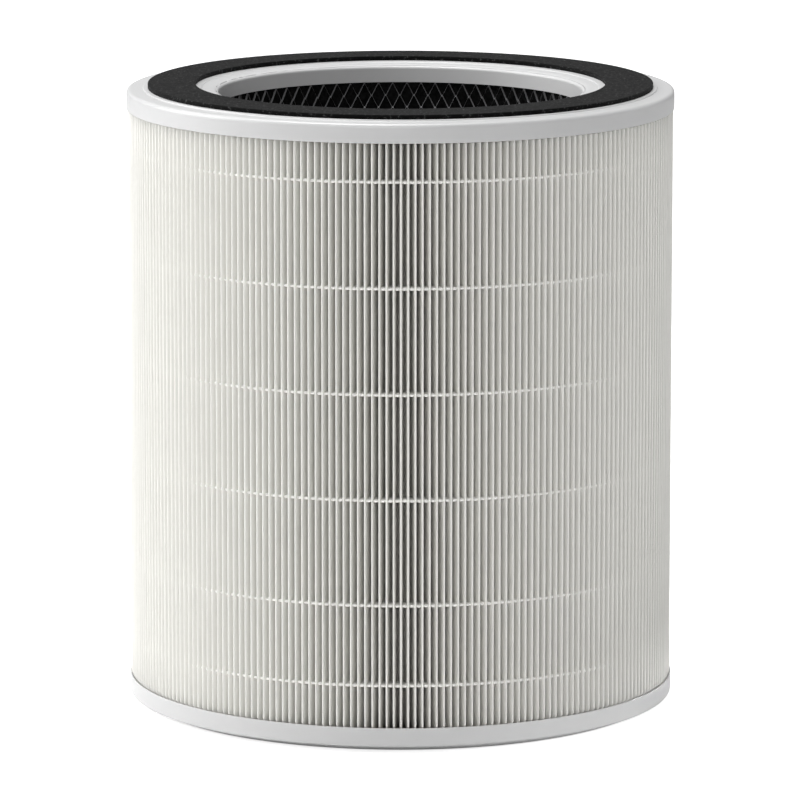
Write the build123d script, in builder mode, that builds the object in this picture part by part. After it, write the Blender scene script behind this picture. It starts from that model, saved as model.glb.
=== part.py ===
from build123d import *
import math
import os

# Filter cartridge of a room air purifier, standing on its closed end.
# Air is drawn in through the pleats all round, passes the carbon layer and
# leaves upwards through the open collar in the top cap. The origin is in the
# middle of the underside, +Z is up, and all sizes are millimetres.

# Overall size
cap_radius = 115.0  # outer radius of both caps
total_height = 262.5  # from the surface it stands on to the top of the gasket

# Skirts of both caps, which grip the ends of the folds
skirt_wall = 0.7
fold_clearance = 0.1  # between the folds and the skirts

# Top cap: a moulded channel ring, open downwards
channel_width = 38.6  # from the outside of the skirt in to the open bore
top_skirt_height = 8.0
shoulder_width = 7.2  # from the skirt in to the raised seat of the gasket
shoulder_chamfer = 1.4
rim_step = 0.65  # the shoulder lies this much lower than the seat
seat_thickness = 1.8
collar_wall = 1.1
collar_depth = 8.3
mouth_chamfer = 1.9

# Foam gasket on the seat
gasket_thickness = 1.8
gasket_outer_margin = 1.8  # seat left bare outside the gasket
gasket_inner_margin = 9.7  # seat and bell mouth left bare inside it

# Bottom cap: a closed dish with a bevelled lower edge
bottom_cap_height = 10.7
bevel_width = 7.4
bevel_height = 3.1
foot_width = 10.6  # flat ring that it stands on
floor_thickness = 3.6
recess_depth = 1.0

# Expanded metal tube inside, rolled here with flat sides
mesh_clearance = 0.2  # loose fit over the collar
mesh_thickness = 0.8
mesh_side_pairs = 12
mesh_rows = 5
mesh_strand = 3.0
mesh_end_band = 6.0

# Carbon layer, wound flat on the sides of the mesh
carbon_clearance = 0.3  # to the mesh inside it and the folds outside it
carbon_thickness = 6.7

# Folded filter sheet
fold_count = 243
fold_sheet = 0.4
first_fold_angle = -90.0  # a fold edge faces the viewer in the middle

# Rows of hot melt adhesive that hold the folds apart, evenly spaced from the
# top row down, with one more row near the bottom end
bead_width = 1.3
bead_rise = 0.4
bead_clearance = 0.03
folds_per_stretch = 4  # the string runs straight over this many folds
bead_pitch = 43.65
top_bead_drop = 26.5  # from the top of the gasket
last_bead_height = 28.0

# Heights and radii that follow from the sizes above
seat_top = total_height - gasket_thickness
seat_underside = seat_top - seat_thickness
shoulder_top = seat_top - rim_step
collar_foot = seat_top - collar_depth
pack_height = seat_underside - floor_thickness

skirt_inner_radius = cap_radius - skirt_wall
rim_radius = cap_radius - shoulder_width
foot_radius = cap_radius - bevel_width
collar_radius = cap_radius - channel_width
collar_outer_radius = collar_radius + collar_wall
mesh_sides = 2 * mesh_side_pairs
mesh_inner_flat = collar_outer_radius + mesh_clearance
mesh_outer_flat = mesh_inner_flat + mesh_thickness
carbon_inner_flat = mesh_outer_flat + carbon_clearance
carbon_outer_flat = carbon_inner_flat + carbon_thickness
carbon_corner_radius = carbon_outer_flat / math.cos(math.pi / mesh_sides)
fold_inner_radius = carbon_corner_radius + carbon_clearance
tip_radius = skirt_inner_radius - fold_clearance

os.makedirs("parts", exist_ok=True)


def on_circle(radius, angle):
    """Point at a radius and an angle in degrees."""
    return (radius * math.cos(math.radians(angle)), radius * math.sin(math.radians(angle)))


# Top cap, one moulding: skirt, shoulder, raised seat, bell mouth and collar
with BuildPart() as top_cap:
    with BuildSketch(Plane.XZ):
        with BuildLine():
            Polyline(
                (collar_radius, collar_foot),
                (collar_radius, seat_top),
                (rim_radius, seat_top),
                (rim_radius, shoulder_top),
                (cap_radius, shoulder_top),
                (cap_radius, shoulder_top - top_skirt_height),
                (skirt_inner_radius, shoulder_top - top_skirt_height),
                (skirt_inner_radius, seat_underside),
                (collar_outer_radius, seat_underside),
                (collar_outer_radius, collar_foot),
                close=True,
            )
        make_face()
        mouth_corner = vertices().group_by(Axis.Y)[-1].sort_by(Axis.X)[0]
        chamfer(mouth_corner, mouth_chamfer)
        shoulder_corner = vertices().group_by(Axis.X)[-1].sort_by(Axis.Y)[-1]
        chamfer(shoulder_corner, shoulder_chamfer)
    revolve(axis=Axis.Z)

top_cap.part.label = "top_cap"
export_step(top_cap.part, "parts/top_cap.step")


# Foam gasket, die cut from sheet and stuck to the raised seat
with BuildPart() as foam_gasket:
    with BuildSketch(Plane.XY.offset(seat_top)):
        Circle(rim_radius - gasket_outer_margin)
        Circle(collar_radius + gasket_inner_margin, mode=Mode.SUBTRACT)
    extrude(amount=gasket_thickness)

foam_gasket.part.label = "foam_gasket"
export_step(foam_gasket.part, "parts/foam_gasket.step")


# Bottom cap, one moulding: floor with a shallow recess, foot ring, bevel, skirt
with BuildPart() as bottom_cap:
    with BuildSketch(Plane.XZ):
        with BuildLine():
            Polyline(
                (0, recess_depth),
                (foot_radius - foot_width, recess_depth),
                (foot_radius - foot_width, 0),
                (foot_radius, 0),
                (cap_radius, bevel_height),
                (cap_radius, bottom_cap_height),
                (skirt_inner_radius, bottom_cap_height),
                (skirt_inner_radius, floor_thickness),
                (0, floor_thickness),
                close=True,
            )
        make_face()
    revolve(axis=Axis.Z)

bottom_cap.part.label = "bottom_cap"
export_step(bottom_cap.part, "parts/bottom_cap.step")


# Filter sheet, one strip folded to and fro into a closed ring of pleats. Its
# outer face turns round each flat fold edge and runs down to the bottom of the
# gap, and its inner face follows one sheet thickness behind.
fold_pitch = 360 / fold_count
tip_half_angle = math.degrees(fold_sheet / tip_radius)
inner_fold_half_angle = fold_pitch / 2 - math.degrees(fold_sheet / fold_inner_radius)
outer_face = []
inner_face = []
for fold in range(fold_count):
    middle = first_fold_angle + fold * fold_pitch
    outer_face.append(on_circle(tip_radius, middle - tip_half_angle))
    outer_face.append(on_circle(tip_radius, middle + tip_half_angle))
    outer_face.append(on_circle(fold_inner_radius + fold_sheet, middle + fold_pitch / 2))
    inner_face.append(on_circle(fold_inner_radius, middle - inner_fold_half_angle))
    inner_face.append(on_circle(tip_radius - fold_sheet, middle))
    inner_face.append(on_circle(fold_inner_radius, middle + inner_fold_half_angle))

with BuildPart() as pleated_media:
    with BuildSketch(Plane.XY.offset(floor_thickness)):
        with BuildLine():
            Polyline(*outer_face, close=True)
        make_face()
        with BuildLine():
            Polyline(*inner_face, close=True)
        make_face(mode=Mode.SUBTRACT)
    extrude(amount=pack_height)

pleated_media.part.label = "pleated_media"
export_step(pleated_media.part, "parts/pleated_media.step")


# Adhesive rows, each a string laid round the fold edges with a peaked section.
# It is drawn tight, so that it runs straight over a few folds at a time.
bead_sides = fold_count // folds_per_stretch
bead_seat = tip_radius + bead_clearance
top_bead_height = total_height - top_bead_drop
full_pitches = int((top_bead_height - last_bead_height) / bead_pitch)
bead_heights = [top_bead_height - row * bead_pitch for row in range(full_pitches + 1)]
bead_heights.append(last_bead_height)

with BuildPart() as bead_string:
    with BuildSketch(Plane.XY.offset(-bead_width / 2)):
        RegularPolygon(bead_seat, bead_sides, major_radius=False)
    with BuildSketch(Plane.XY):
        RegularPolygon(bead_seat + bead_rise, bead_sides, major_radius=False)
    with BuildSketch(Plane.XY.offset(bead_width / 2)):
        RegularPolygon(bead_seat, bead_sides, major_radius=False)
    loft(ruled=True)
    with BuildSketch(Plane.XY.offset(-bead_width / 2)):
        RegularPolygon(bead_seat, bead_sides, major_radius=False)
    extrude(amount=bead_width, mode=Mode.SUBTRACT)

for row, bead_height in enumerate(bead_heights, start=1):
    with BuildPart() as bead_row:
        with Locations((0, 0, bead_height)):
            add(bead_string.part)

    bead_row.part.label = f"bead_row_{row}"
    export_step(bead_row.part, f"parts/bead_row_{row}.step")


# Carbon layer, wound on the mesh and standing loose inside the folds
with BuildPart() as carbon_layer:
    with BuildSketch(Plane.XY.offset(floor_thickness)):
        RegularPolygon(carbon_outer_flat, mesh_sides, major_radius=False)
        RegularPolygon(carbon_inner_flat, mesh_sides, major_radius=False, mode=Mode.SUBTRACT)
    extrude(amount=pack_height)

carbon_layer.part.label = "carbon_layer"
export_step(carbon_layer.part, "parts/carbon_layer.step")


# Expanded metal tube. Each flat side has a column of diamond openings, and the
# columns of neighbouring sides are half an opening apart in height.
side_width = 2 * mesh_outer_flat * math.tan(math.pi / mesh_sides)
diamond_pitch = (pack_height - 2 * mesh_end_band) / (mesh_rows + 0.5)
diamond_half_width = (side_width - mesh_strand) / 2
diamond_half_height = (diamond_pitch - mesh_strand) / 2

with BuildPart() as inner_mesh:
    with BuildSketch(Plane.XY.offset(floor_thickness)):
        RegularPolygon(mesh_outer_flat, mesh_sides, major_radius=False)
        RegularPolygon(mesh_inner_flat, mesh_sides, major_radius=False, mode=Mode.SUBTRACT)
    extrude(amount=pack_height)
    for first_side, column_shift in ((0, -diamond_pitch / 4), (1, diamond_pitch / 4)):
        facing = (first_side + 0.5) * 360 / mesh_sides
        middle_x, middle_y = on_circle(mesh_outer_flat, facing)
        side_plane = Plane(
            origin=(middle_x, middle_y, floor_thickness + pack_height / 2 + column_shift),
            x_dir=(-middle_y, middle_x, 0),
            z_dir=(middle_x, middle_y, 0),
        )
        with BuildSketch(side_plane, mode=Mode.PRIVATE) as diamond_column:
            with GridLocations(side_width, diamond_pitch, 1, mesh_rows):
                Polygon(
                    (-diamond_half_width, 0),
                    (0, -diamond_half_height),
                    (diamond_half_width, 0),
                    (0, diamond_half_height),
                )
        column_cut = extrude(
            diamond_column.sketch, amount=-2 * mesh_thickness, mode=Mode.PRIVATE
        )
        with PolarLocations(0, mesh_side_pairs):
            add(column_cut, mode=Mode.SUBTRACT)

inner_mesh.part.label = "inner_mesh"
export_step(inner_mesh.part, "parts/inner_mesh.step")
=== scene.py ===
import bmesh
import bpy
import numpy as np
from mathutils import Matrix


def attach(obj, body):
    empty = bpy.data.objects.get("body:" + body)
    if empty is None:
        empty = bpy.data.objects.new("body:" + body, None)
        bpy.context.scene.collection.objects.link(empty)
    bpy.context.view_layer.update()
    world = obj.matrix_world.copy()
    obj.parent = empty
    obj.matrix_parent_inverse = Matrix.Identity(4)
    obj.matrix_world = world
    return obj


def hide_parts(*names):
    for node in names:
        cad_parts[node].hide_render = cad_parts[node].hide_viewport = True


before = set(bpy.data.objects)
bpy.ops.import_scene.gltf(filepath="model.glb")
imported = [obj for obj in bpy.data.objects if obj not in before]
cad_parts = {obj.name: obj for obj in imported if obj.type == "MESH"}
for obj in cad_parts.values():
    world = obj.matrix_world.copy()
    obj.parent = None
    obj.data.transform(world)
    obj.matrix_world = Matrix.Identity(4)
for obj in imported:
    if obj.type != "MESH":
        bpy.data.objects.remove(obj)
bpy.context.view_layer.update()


# Expanded metal tube.
# A black coated sheet, slit and stretched into diamonds and rolled into the tube that stands
# round the air core. Its strands are flat, lean back a little and run in zigzags that meet at the
# nodes. Their colour is painted light grey, not black, as a painted highlight for the glints along
# them.
mm = 0.001
mesh_middle_radius = 78.1
mesh_foot = 3.7
mesh_top = 258.8
diamonds_round = 80
diamond_rise = 5.2
node_height_at_top = 251.8
node_angle = 92.46
strand_thickness = 0.2
strand_height = 0.52
strand_lean = 1.2
node_half_share = 0.04
node_gap_share = 0.3


def skin(name, points, rows_join=True):
    """Mesh over a grid of points that goes once round the cartridge. Each point is joined to the
    next one round, the last to the first, and each row to the next row; with rows_join the last
    row is joined to the first too, which closes the shell. Rows run upwards on the outside."""
    rows, around = points.shape[:2]
    row = np.arange(rows if rows_join else rows - 1)[:, None]
    step = np.arange(around)[None, :]
    next_row = (row + 1) % rows * around
    next_step = (step + 1) % around
    row = row * around
    quads = np.stack([row + step, row + next_step, next_row + next_step, next_row + step], -1)
    mesh = bpy.data.meshes.new(name)
    mesh.from_pydata(points.reshape(-1, 3) * mm, [], quads.reshape(-1, 4).tolist())
    mesh.shade_smooth()
    piece = bpy.data.objects.new(name, mesh)
    bpy.context.scene.collection.objects.link(piece)
    return piece


def round_axis(radius, angle, height):
    """Points from cylinder coordinates: radius times the cosine and the sine of the angle in
    degrees, and the height. The three arrays take each other's shape."""
    radius, angle, height = np.broadcast_arrays(radius, angle, height)
    angle = np.radians(angle)
    return np.stack([radius * np.cos(angle), radius * np.sin(angle), height], -1)


def joined(name, pieces):
    """One object out of several: their meshes, each with its own closed shells, are put together."""
    shell = bmesh.new()
    for piece in pieces:
        shell.from_mesh(piece.data)
        bpy.data.objects.remove(piece)
    mesh = bpy.data.meshes.new(name)
    shell.to_mesh(mesh)
    shell.free()
    piece = bpy.data.objects.new(name, mesh)
    bpy.context.scene.collection.objects.link(piece)
    return piece


def strand_rows():
    """Zigzag strands, one ring above the other. Round the tube a strand's height swings between
    two rows of nodes, with a short level stretch at each node; every other ring swings the other
    way, so that neighbours meet. Its section is a flat bar whose upper edge leans outwards."""
    node_rows = np.arange(node_height_at_top + diamond_rise, mesh_foot, -diamond_rise)
    node_rows = node_rows[node_rows < mesh_top - diamond_rise / 2]
    node_rows = node_rows[node_rows > mesh_foot + diamond_rise / 2]
    swing = np.array([0.5, 0.5, -0.5, -0.5])
    share = np.array([0, 0, 0.5, 0.5]) + np.array([-1, 1, -1, 1]) * node_half_share
    half_turns = np.arange(diamonds_round)[:, None]
    place = (half_turns + share).ravel() * 360 / diamonds_round
    level = np.tile(swing, diamonds_round)
    section_up = np.array([-1, 1, 1, -1])[:, None] * strand_height / 2
    section_out = np.array([1, 1, -1, -1])[:, None] * strand_thickness / 2
    section_out = section_out + section_up * strand_lean
    rise = diamond_rise - node_gap_share * strand_height
    rings = []
    for row, node_row in enumerate(node_rows):
        turn = node_angle + (row % 2) * 180 / diamonds_round
        height = node_row - diamond_rise / 2 + level * rise
        points = round_axis(mesh_middle_radius + section_out, turn + place, height + section_up)
        rings.append(skin("strand", points))
    return rings


inner_mesh = joined("expanded_metal_tube", strand_rows())
inner_mesh.data.shade_flat()


def fine_grain_group():
    """Surface effect for every finish here. Object coordinates drive two noises: a broad one
    gives Tone, from 0 to 1, with the Contrast and middle Level asked for, and a finer one gives
    Height."""
    group = bpy.data.node_groups.new("Fine grain", "ShaderNodeTree")
    for label, value in (("Scale", 800.0), ("Contrast", 1.0), ("Level", 0.5)):
        socket = group.interface.new_socket(label, in_out="INPUT", socket_type="NodeSocketFloat")
        socket.default_value = value
    group.interface.new_socket("Tone", in_out="OUTPUT", socket_type="NodeSocketFloat")
    group.interface.new_socket("Height", in_out="OUTPUT", socket_type="NodeSocketFloat")
    nodes = group.nodes
    links = group.links
    given = nodes.new("NodeGroupInput")
    result = nodes.new("NodeGroupOutput")
    place = nodes.new("ShaderNodeTexCoord")
    broad = nodes.new("ShaderNodeTexNoise")
    broad.inputs["Detail"].default_value = 2.0
    fine = nodes.new("ShaderNodeTexNoise")
    fine.inputs["Detail"].default_value = 3.0
    closer = nodes.new("ShaderNodeMath")
    closer.operation = "MULTIPLY"
    closer.inputs[1].default_value = 2.3
    centred = nodes.new("ShaderNodeMath")
    centred.operation = "SUBTRACT"
    centred.inputs[1].default_value = 0.5
    spread = nodes.new("ShaderNodeMath")
    spread.operation = "MULTIPLY_ADD"
    spread.use_clamp = True
    links.new(place.outputs["Object"], broad.inputs["Vector"])
    links.new(place.outputs["Object"], fine.inputs["Vector"])
    links.new(given.outputs["Scale"], broad.inputs["Scale"])
    links.new(given.outputs["Scale"], closer.inputs[0])
    links.new(closer.outputs["Value"], fine.inputs["Scale"])
    links.new(broad.outputs["Fac"], centred.inputs[0])
    links.new(centred.outputs["Value"], spread.inputs[0])
    links.new(given.outputs["Contrast"], spread.inputs[1])
    links.new(given.outputs["Level"], spread.inputs[2])
    links.new(spread.outputs["Value"], result.inputs["Tone"])
    links.new(fine.outputs["Fac"], result.inputs["Height"])
    return group


fine_grain = fine_grain_group()


def grained_finish(name, low, high, scale, contrast, level, roughness, specular, bump, depth):
    """Material whose colour goes from low to high with the grain's Tone and whose surface is
    lifted by the grain's Height, depth metres at most."""
    material = bpy.data.materials.new(name)
    material.use_nodes = True
    nodes = material.node_tree.nodes
    links = material.node_tree.links
    shader = nodes["Principled BSDF"]
    shader.inputs["Roughness"].default_value = roughness
    shader.inputs["Specular IOR Level"].default_value = specular
    grain = nodes.new("ShaderNodeGroup")
    grain.node_tree = fine_grain
    grain.inputs["Scale"].default_value = scale
    grain.inputs["Contrast"].default_value = contrast
    grain.inputs["Level"].default_value = level
    colour = nodes.new("ShaderNodeMix")
    colour.data_type = "RGBA"
    colour.inputs["A"].default_value = (*low, 1)
    colour.inputs["B"].default_value = (*high, 1)
    lift = nodes.new("ShaderNodeBump")
    lift.inputs["Strength"].default_value = bump
    lift.inputs["Distance"].default_value = depth
    links.new(grain.outputs["Tone"], colour.inputs["Factor"])
    links.new(colour.outputs["Result"], shader.inputs["Base Color"])
    links.new(grain.outputs["Height"], lift.inputs["Height"])
    links.new(lift.outputs["Normal"], shader.inputs["Normal"])
    return material


# Painted highlight: the black coat is given a light grey colour that stands in for the glints along
# the strands.
coat_painted_grey_for_glints = grained_finish(
    "Black coat painted grey for glints",
    low=(0.230, 0.230, 0.234),
    high=(0.290, 0.290, 0.295),
    scale=1500,
    contrast=1.5,
    level=0.5,
    roughness=0.33,
    specular=0.8,
    bump=0.15,
    depth=0.00005,
)
inner_mesh.data.materials.append(coat_painted_grey_for_glints)
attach(inner_mesh, "root")
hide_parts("inner_mesh")


# Carbon layer.
# Black carbon grains held between two fine nets and wound round the metal tube. Only its inner
# face shows, as a dull black behind the diamonds.
carbon_inner_radius = 79.3
carbon_outer_radius = 85.6
carbon_foot = 3.7
carbon_top = 258.8
carbon_edge = 0.3


def softened(corners):
    """Outline in radius and height with rounded corners. A corner is given as radius, height and
    the length cut from both its sides; it becomes a parabola from one cut to the other, with the
    corner as its control point, and a support point just before and after."""
    corners = np.asarray(corners, float)
    corner, cut = corners[:, None, :2], corners[:, None, 2:]
    to_corner = corner - np.roll(corner, 1, axis=0)
    from_corner = np.roll(corner, -1, axis=0) - corner
    to_corner /= np.linalg.norm(to_corner, axis=-1, keepdims=True)
    from_corner /= np.linalg.norm(from_corner, axis=-1, keepdims=True)
    start = corner - to_corner * cut
    end = corner + from_corner * cut
    support = 1.3
    along = np.linspace(0, 1, 6)[None, :, None]
    arc = (1 - along) ** 2 * start + 2 * along * (1 - along) * corner + along**2 * end
    before = corner - to_corner * cut * support
    after = corner + from_corner * cut * support
    return np.concatenate([before, arc, after], axis=1).reshape(-1, 2)


def turned(name, corners, steps=256, rows_join=True):
    """Solid of revolution: every point of the softened outline, which runs anticlockwise with
    the radius to the right, goes once round the axis."""
    outline = softened(corners)
    around = np.arange(steps)[None, :] * 360 / steps
    return skin(name, round_axis(outline[:, :1], around, outline[:, 1:]), rows_join)


carbon_layer = turned(
    "carbon_grain_layer",
    [
        (carbon_inner_radius, carbon_foot, carbon_edge),
        (carbon_outer_radius, carbon_foot, carbon_edge),
        (carbon_outer_radius, carbon_top, carbon_edge),
        (carbon_inner_radius, carbon_top, carbon_edge),
    ],
)
carbon_black = grained_finish(
    "Carbon grains",
    low=(0.003, 0.003, 0.003),
    high=(0.012, 0.012, 0.012),
    scale=700,
    contrast=3.0,
    level=0.5,
    roughness=0.75,
    specular=0.05,
    bump=0.8,
    depth=0.0006,
)
carbon_layer.data.materials.append(carbon_black)
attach(carbon_layer, "root")
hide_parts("carbon_layer")


# Folded filter sheet.
# One warm white non-woven strip, pleated to and fro and closed into a ring of 243 folds. Each
# fold turns over in a thin creased edge, and no two stand quite alike.
fold_count = 243
fold_pitch = 360 / fold_count
first_fold = -89.88
tip_radius = 114.2
gap_bottom_radius = 86.95
sheet_thickness = 0.4
sheet_foot = 3.7
sheet_top = 258.8
proud_between_caps = 0.3
entry_heights = [10.5, 11.5, 251.4, 252.3]
entry_reach = [-0.5, proud_between_caps, proud_between_caps, -0.7]
fold_bow = 0.015
bead_heights = np.array([236.0, 192.35, 148.7, 105.05, 61.4, 28.0])
chance = np.random.default_rng(11)
fold_lean = chance.normal(0, 0.02, fold_count)
fold_reach = chance.normal(0, 0.035, fold_count).clip(-0.1, 0.05)


def folded_sheet():
    """Outer face of a fold, from one gap bottom to the next: up the wall, round the thin creased
    edge and down the other wall, half its width given at nine depths. The inner face follows one
    sheet behind: sideways wherever half the width is past wall_from, and radially where it is
    under crest_to and again where it grows through bottom_over. Heights are rows. The folds are
    tucked in where they enter the caps, and between two rows of adhesive each bows aside a
    little, on a sine."""
    crest_to = 0.4
    wall_from = 0.42
    bottom_over = [0.9, 1.08]
    inner_crest_share = 0.03
    half_gap = np.pi * gap_bottom_radius / fold_count
    depth = np.array([0, 0.05, 0.2, 0.6, 2.0, 6.0, 12.0, 20.0, 27.2])
    half_width = np.array([0, 0.15, 0.28, 0.37, 0.46, 0.57, 0.70, 0.86, half_gap - 0.04])
    radius = tip_radius - np.concatenate([depth[:0:-1], depth])
    side = np.concatenate([-half_width[:0:-1], half_width])
    away = np.abs(side)
    behind = np.interp(away, bottom_over, [0.0, sheet_thickness])
    behind = np.where(away < crest_to, sheet_thickness, behind)
    wall_share = 1 - sheet_thickness / np.maximum(away, wall_from)
    narrower = np.where(away > wall_from, wall_share, inner_crest_share)
    thirds = (bead_heights[:4, None] - np.array([14.5, 29.1])).ravel()
    lowest_middle = bead_heights[-2:].mean()
    stations = [sheet_foot, *entry_heights, lowest_middle, sheet_top]
    heights = np.unique(np.concatenate([stations, bead_heights, thirds]))
    proud = np.interp(heights, entry_heights, entry_reach)[:, None, None]
    spans = len(bead_heights)
    phase = chance.uniform(-1, 1, (fold_count, spans))
    bow = np.zeros((len(heights), fold_count))
    edges = np.concatenate([entry_heights[-1:], bead_heights])
    for span in range(spans):
        inside = (heights < edges[span]) & (heights > edges[span + 1])
        rise = np.sin(np.pi * (heights - edges[span + 1]) / (edges[span] - edges[span + 1]))
        bow += (inside * rise)[:, None] * phase[:, span] * fold_bow
    outward = (radius - gap_bottom_radius) / (tip_radius - gap_bottom_radius)
    lean = (fold_lean + bow)[:, :, None] * outward
    reach = (fold_reach[None, :, None] + proud) * outward
    middle = first_fold + np.arange(fold_count)[None, :, None] * fold_pitch
    angle = middle + np.degrees((side + lean) / radius)
    outer = round_axis(radius + reach, angle, heights[:, None, None])
    inner_angle = middle + np.degrees((side * narrower + lean) / radius)
    inner = round_axis(radius + reach - behind, inner_angle, heights[:, None, None])
    outer = outer.reshape(len(heights), -1, 3)
    inner = inner[[-1, 0]].reshape(2, -1, 3)
    return skin("folded_filter_sheet", np.concatenate([outer, inner]))


pleated_media = folded_sheet()
sheet_white = grained_finish(
    "Non-woven filter sheet",
    low=(0.865, 0.859, 0.825),
    high=(0.895, 0.889, 0.855),
    scale=520,
    contrast=1.6,
    level=0.5,
    roughness=0.92,
    specular=0.15,
    bump=0.2,
    depth=0.00006,
)
fuzz = sheet_white.node_tree.nodes["Principled BSDF"].inputs
fuzz["Sheen Weight"].default_value = 0.75
fuzz["Sheen Roughness"].default_value = 0.5
fuzz["Sheen Tint"].default_value = (1.0, 0.975, 0.91, 1)
pleated_media.data.materials.append(sheet_white)
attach(pleated_media, "root")
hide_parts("pleated_media")


# Rows of hot melt adhesive.
# A string of white adhesive at six heights is folded in with the sheet. It sets in each gap as a
# small pillow, just behind the fold edges, that holds two folds apart.
bead_depth = 11.0
pillow_height = 1.15
crossing_height = 0.9
pillow_drop = 1.15
crossing_drop = 0.7
uneven_height = 0.03
uneven_size = 0.04
steps_per_fold = 8


def adhesive_row(name, height):
    """Ring whose section is a tongue with a round nose. The nose swings with the folds, on a
    squared sine: inside a fold it is thin and set back, in a gap it is full, round and further
    out. Each pillow sits a little higher or lower than its neighbours."""
    steps = fold_count * steps_per_fold
    place = np.arange(steps) / steps_per_fold
    fullness = np.sin(np.pi * place) ** 2
    gap = np.floor(place).astype(int)
    shift = chance.normal(0, uneven_height, fold_count)[gap] * fullness
    plump = chance.normal(1, uneven_size, fold_count)[gap]
    half = (crossing_height + (pillow_height * plump - crossing_height) * fullness) / 2
    fold_edge = tip_radius + proud_between_caps
    front = fold_edge - pillow_drop - crossing_drop * (1 - fullness)
    nose = np.radians(np.array([-90, -60, -35, -12, 12, 35, 60, 90]))[:, None]
    bulge = 0.2 + 0.25 * fullness
    nose_radius = front - bulge + bulge * np.cos(nose)
    nose_height = half * np.sin(nose)
    back_radius = np.array([bead_depth * 0.5, bead_depth, bead_depth, bead_depth * 0.5])[:, None]
    back_height = np.array([0.85, 0.3, -0.3, -0.85])[:, None] * half
    radius = np.concatenate([nose_radius, front - back_radius])
    level = height + shift + np.concatenate([nose_height, back_height])
    return skin(name, round_axis(radius, first_fold + place * fold_pitch, level))


adhesive_white = grained_finish(
    "Set hot melt",
    low=(0.955, 0.950, 0.922),
    high=(0.975, 0.970, 0.945),
    scale=300,
    contrast=1.5,
    level=0.5,
    roughness=0.4,
    specular=0.5,
    bump=0.2,
    depth=0.0001,
)
for number, bead_height in enumerate(bead_heights, start=1):
    row = adhesive_row(f"adhesive_row_{number}", bead_height)
    row.data.materials.append(adhesive_white)
    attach(row, "root")
    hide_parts(f"bead_row_{number}")


# Bottom cap.
# A closed dish moulded in white plastic, which the lower ends of the folds are glued into. Its
# lower edge is bevelled, and it stands on a flat ring round a shallow recess.
def close_poles(mesh, distance=1e-7):
    """Merges the points that lie together on the axis, which closes the middle of both faces."""
    shell = bmesh.new()
    shell.from_mesh(mesh)
    bmesh.ops.remove_doubles(shell, verts=shell.verts, dist=distance)
    shell.to_mesh(mesh)
    shell.free()


bottom_cap = turned(
    "closed_bottom_cap",
    [
        (0.0, 1.0, 0.0),
        (97.0, 1.0, 0.35),
        (97.0, 0.0, 0.3),
        (107.6, 0.0, 1.2),
        (115.0, 3.1, 0.8),
        (115.0, 10.7, 0.22),
        (114.3, 10.7, 0.18),
        (114.3, 3.6, 0.3),
        (0.0, 3.6, 0.0),
    ],
    rows_join=False,
)
close_poles(bottom_cap.data)
cap_white = grained_finish(
    "Moulded white plastic",
    low=(0.590, 0.590, 0.590),
    high=(0.602, 0.602, 0.602),
    scale=60,
    contrast=1.0,
    level=0.5,
    roughness=0.3,
    specular=0.5,
    bump=0.02,
    depth=0.00004,
)
bottom_cap.data.materials.append(cap_white)
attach(bottom_cap, "root")
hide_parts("bottom_cap")


# Top cap.
# One white moulding: a skirt round the upper ends of the folds, a rounded shoulder, a raised
# seat for the gasket, and a bell mouth that steps down and rolls over into the open collar.
top_cap = turned(
    "open_top_cap",
    [
        (76.4, 252.4, 0.15),
        (77.5, 252.4, 0.15),
        (77.5, 258.9, 0.3),
        (114.3, 258.9, 0.3),
        (114.3, 252.05, 0.18),
        (115.0, 252.05, 0.22),
        (115.0, 259.95, 1.7),
        (107.95, 260.18, 0.2),
        (107.8, 260.7, 0.2),
        (87.0, 260.7, 0.8),
        (83.4, 260.42, 0.15),
        (83.2, 260.15, 0.1),
        (79.0, 259.85, 1.2),
        (76.4, 259.1, 0.9),
    ],
)
top_cap.data.materials.append(cap_white)
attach(top_cap, "root")
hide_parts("top_cap")


# Foam gasket.
# A flat ring die cut from black closed-cell foam and stuck on the raised seat, where it seals
# against the purifier. Its skin is dull and finely grained.
gasket_inner_radius = 86.1
gasket_outer_radius = 106.0
gasket_foot = 260.7
gasket_top = 262.5
edge_round = 0.3
edge_break = 0.08
grain_depth = 0.22
grain_columns = 17
grain_steps = 560


def foam_ring():
    """Ring of nearly rectangular section, with slightly rounded edges. Its upper face is a fine
    grid whose points, apart from the outermost, sink by a random share of the grain depth, as
    burst cells do. The cube of the draw leaves most of them near the surface."""
    outer, inner = gasket_outer_radius, gasket_inner_radius
    across = np.linspace(outer - edge_round, inner + edge_round, grain_columns)
    sides = [inner, outer, outer, outer - edge_break]
    radius = np.concatenate([sides, across, [inner + edge_break, inner]])
    rising = [gasket_foot, gasket_foot, gasket_top - edge_round, gasket_top - edge_break]
    level = np.concatenate([rising, np.full(grain_columns, gasket_top), rising[:1:-1]])
    grained = slice(len(sides) + 1, -3)
    sunk = np.zeros((len(radius), grain_steps))
    draw = chance.uniform(0, 1, (grain_columns - 2, grain_steps))
    sunk[grained] = draw**3 * grain_depth
    around = np.arange(grain_steps) * 360 / grain_steps
    return skin("foam_gasket_ring", round_axis(radius[:, None], around, level[:, None] - sunk))


foam_gasket = foam_ring()
foam_black = grained_finish(
    "Black closed-cell foam",
    low=(0.003, 0.003, 0.003),
    high=(0.050, 0.050, 0.050),
    scale=800,
    contrast=11.0,
    level=-0.95,
    roughness=0.7,
    specular=0.05,
    bump=0.3,
    depth=0.0003,
)
pores = foam_black.node_tree.nodes["Principled BSDF"].inputs
pores["Sheen Weight"].default_value = 0.033
pores["Sheen Roughness"].default_value = 0.5
foam_gasket.data.materials.append(foam_black)
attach(foam_gasket, "root")
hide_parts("foam_gasket")


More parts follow.
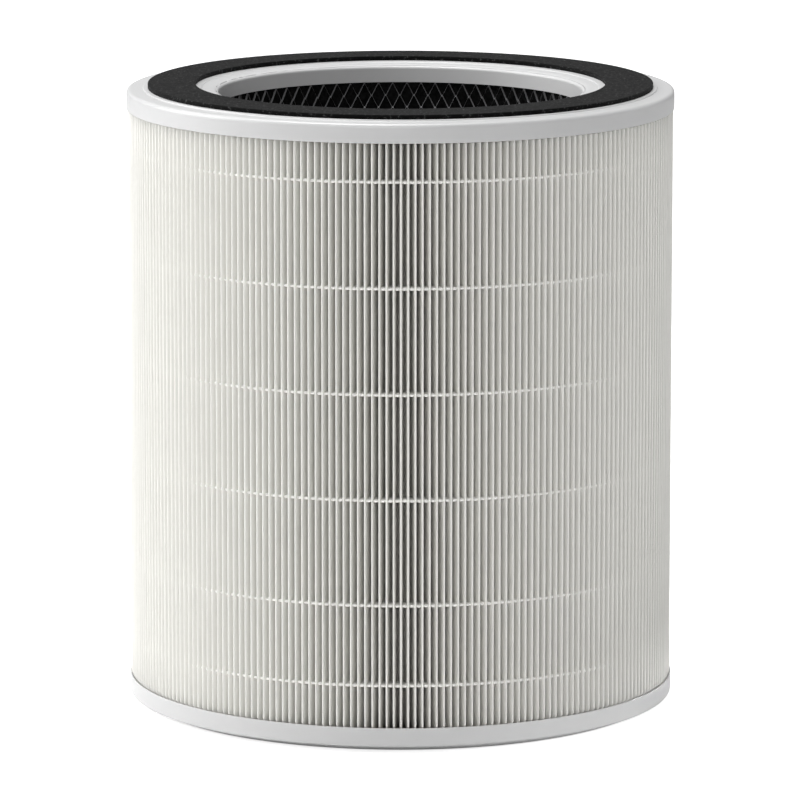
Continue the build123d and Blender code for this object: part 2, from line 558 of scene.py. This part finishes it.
# Floor and white surroundings.
# A plain pale floor that runs out into a white background. Only the camera sees white there,
# while the light on the cartridge comes from the lamps and a plain world. The floor is open
# under the foot ring, which hides the opening and lets the room light the underside.
floor_reach = 6000.0
floor_opening = 106.0
floor_steps = 96
floor_edges = np.array([[floor_reach], [floor_opening]])
floor_angles = np.arange(floor_steps)[None, :] * 360 / floor_steps
floor = skin("floor", round_axis(floor_edges, floor_angles, 0.0), rows_join=False)

floor_material = bpy.data.materials.new("Pale floor")
floor_material.use_nodes = True
floor_nodes = floor_material.node_tree.nodes
floor_links = floor_material.node_tree.links
floor_nodes.remove(floor_nodes["Principled BSDF"])
floor_paint = floor_nodes.new("ShaderNodeBsdfDiffuse")
floor_paint.inputs["Color"].default_value = (0.85, 0.85, 0.85, 1)
floor_white = floor_nodes.new("ShaderNodeEmission")
floor_path = floor_nodes.new("ShaderNodeLightPath")
floor_level = floor_nodes.new("ShaderNodeMath")
floor_level.operation = "MULTIPLY"
floor_level.inputs[1].default_value = 0.7
floor_sum = floor_nodes.new("ShaderNodeAddShader")
floor_side = floor_nodes.new("ShaderNodeNewGeometry")
floor_clear = floor_nodes.new("ShaderNodeBsdfTransparent")
floor_mix = floor_nodes.new("ShaderNodeMixShader")
floor_out = floor_nodes["Material Output"]
floor_links.new(floor_path.outputs["Is Camera Ray"], floor_level.inputs[0])
floor_links.new(floor_level.outputs["Value"], floor_white.inputs["Strength"])
floor_links.new(floor_paint.outputs["BSDF"], floor_sum.inputs[0])
floor_links.new(floor_white.outputs["Emission"], floor_sum.inputs[1])
floor_links.new(floor_side.outputs["Backfacing"], floor_mix.inputs["Fac"])
floor_links.new(floor_sum.outputs["Shader"], floor_mix.inputs[1])
floor_links.new(floor_clear.outputs["BSDF"], floor_mix.inputs[2])
floor_links.new(floor_mix.outputs["Shader"], floor_out.inputs["Surface"])
floor.data.materials.append(floor_material)

world = bpy.data.worlds.new("White room")
bpy.context.scene.world = world
world.use_nodes = True
world_nodes = world.node_tree.nodes
world_links = world.node_tree.links
room_light = world_nodes["Background"]
room_light.inputs["Color"].default_value = (0.985, 0.99, 1.0, 1)
room_light.inputs["Strength"].default_value = 0.3
room_white = world_nodes.new("ShaderNodeBackground")
room_white.inputs["Color"].default_value = (1, 1, 1, 1)
room_path = world_nodes.new("ShaderNodeLightPath")
room_seen = world_nodes.new("ShaderNodeMath")
room_seen.operation = "MAXIMUM"
room_mix = world_nodes.new("ShaderNodeMixShader")
world_links.new(room_path.outputs["Is Camera Ray"], room_seen.inputs[0])
world_links.new(room_path.outputs["Is Transmission Ray"], room_seen.inputs[1])
world_links.new(room_seen.outputs["Value"], room_mix.inputs["Fac"])
world_links.new(room_light.outputs["Background"], room_mix.inputs[1])
world_links.new(room_white.outputs["Background"], room_mix.inputs[2])
world_links.new(room_mix.outputs["Shader"], world_nodes["World Output"].inputs["Surface"])
bpy.context.scene.view_settings.view_transform = "Standard"


# Studio lamps.
# A large soft box on the left gives the form its bright side, a weak one above the camera
# reaches down into the gaps, one overhead lights the shoulder and the lip, and on the right
# stand a weak fill and a low strip for the foot.
def soft_box(name, place, turn, width, height, power):
    """Rectangular lamp at a place, turned by three angles in degrees, with its size in metres."""
    lamp = bpy.data.lights.new(name, "AREA")
    lamp.shape = "RECTANGLE"
    lamp.size = width
    lamp.size_y = height
    lamp.energy = power
    holder = bpy.data.objects.new(name, lamp)
    holder.location = place
    holder.rotation_euler = [np.radians(angle) for angle in turn]
    bpy.context.scene.collection.objects.link(holder)
    return holder


soft_box("left_box", (-2.5, 0.35, 1.3), (0, -65, -8), 2.2, 2.1, 58)
soft_box("front_box", (-0.42, -3.08, 0.95), (75, 0, -8), 1.8, 0.8, 17)
soft_box("top_box", (-0.35, 0.1, 2.3), (-3, -9, 0), 1.2, 1.2, 43)
soft_box("right_box", (2.2, 1.1, 1.0), (68, 0, 117), 2.0, 2.0, 6.3)
foot_strip = soft_box("foot_strip", (0.394, -0.195, 0.134), (68, 0, 65), 0.25, 0.02, 0.012)
foot_strip.data.spread = np.radians(10)


# Camera.
# A long lens, level with the middle of the picture and looking down at the cartridge by about
# ten degrees, as in the photograph.
lens = bpy.data.cameras.new("camera")
lens.sensor_width = 36
lens.lens = 292.66
lens.clip_end = 50
camera = bpy.data.objects.new("camera", lens)
camera.location = (-0.00018, -2.71047, 0.611705)
camera.rotation_euler = (np.radians(79.8555), 0, 0)
bpy.context.scene.collection.objects.link(camera)
bpy.context.scene.camera = camera
